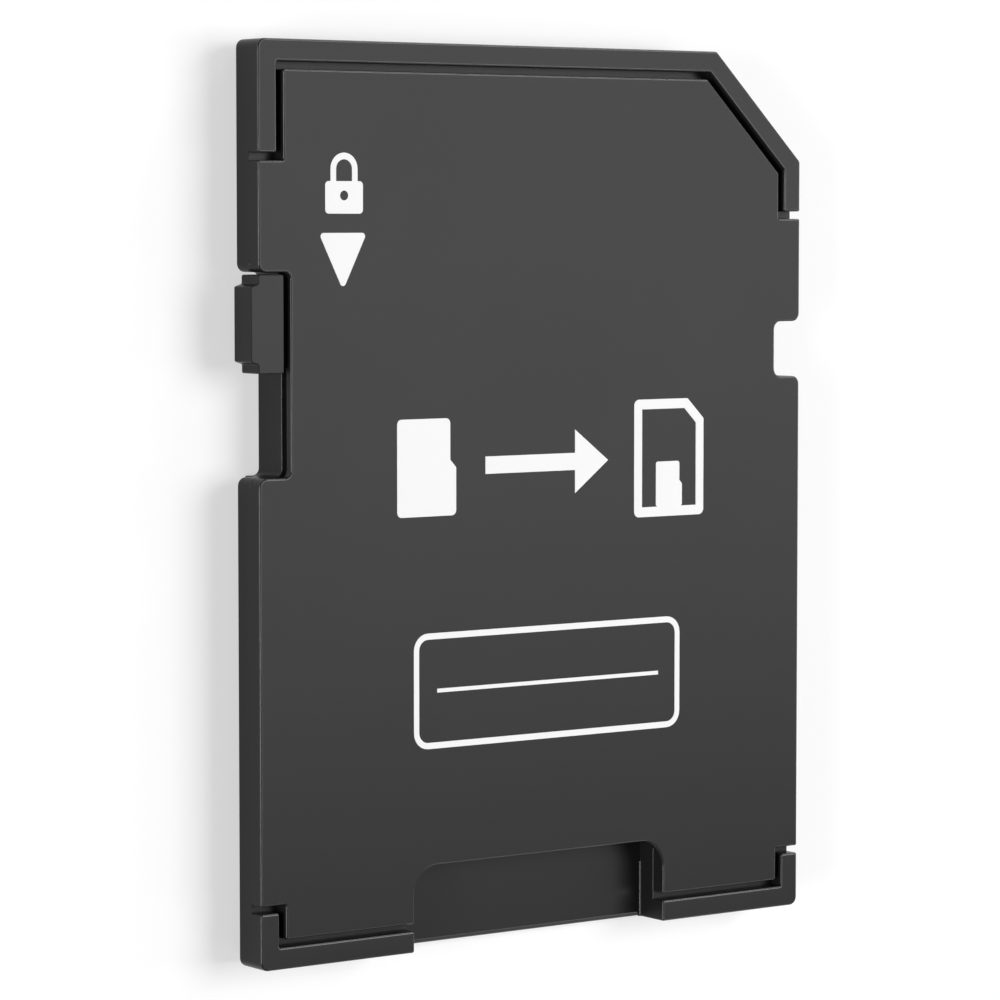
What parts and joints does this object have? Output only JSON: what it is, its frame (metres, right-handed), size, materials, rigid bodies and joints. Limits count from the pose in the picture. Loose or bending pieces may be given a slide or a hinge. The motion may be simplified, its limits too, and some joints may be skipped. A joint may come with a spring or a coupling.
{
  "type": "memory card adapter",
  "caption": "Flat memory card adapter with a cut corner, an open bay and finger recess for a small card, a sliding write lock and recessed contact pads.",
  "frame": {"origin": "centre of the 24 x 32 mm outline on the back face, the face with the contact windows", "axes": "+Y towards the contact end, +Z out of the front face, +X to the right seen from the front, so the cut corner is at +X +Y and the lock slider on -X"},
  "size_m": [0.0243, 0.032, 0.0021],
  "materials": {
    "shell_plastic": "fine moulded dark grey plastic",
    "cover_plastic": "fine moulded dark grey plastic",
    "slider_plastic": "smooth moulded dark grey plastic",
    "contact_gold": "thin gold plate on stamped strip",
    "spring_steel": "rolled strip"
  },
  "bodies": {
    "housing": {"bottom_shell": "shell_plastic", "top_cover": "cover_plastic", "card_spring": "spring_steel", "contact_data_2": "contact_gold", "contact_data_3": "contact_gold", "contact_command": "contact_gold", "contact_supply": "contact_gold", "contact_clock": "contact_gold", "contact_ground": "contact_gold", "contact_data_0": "contact_gold", "contact_data_1": "contact_gold"},
    "slider": {"lock_slider": "slider_plastic"}
  },
  "joints": [
    {"name": "lock_slide", "type": "slide", "parent": "housing", "child": "slider", "axis": [0, -1, 0], "range_m": [0, 0.0035]}
  ]
}
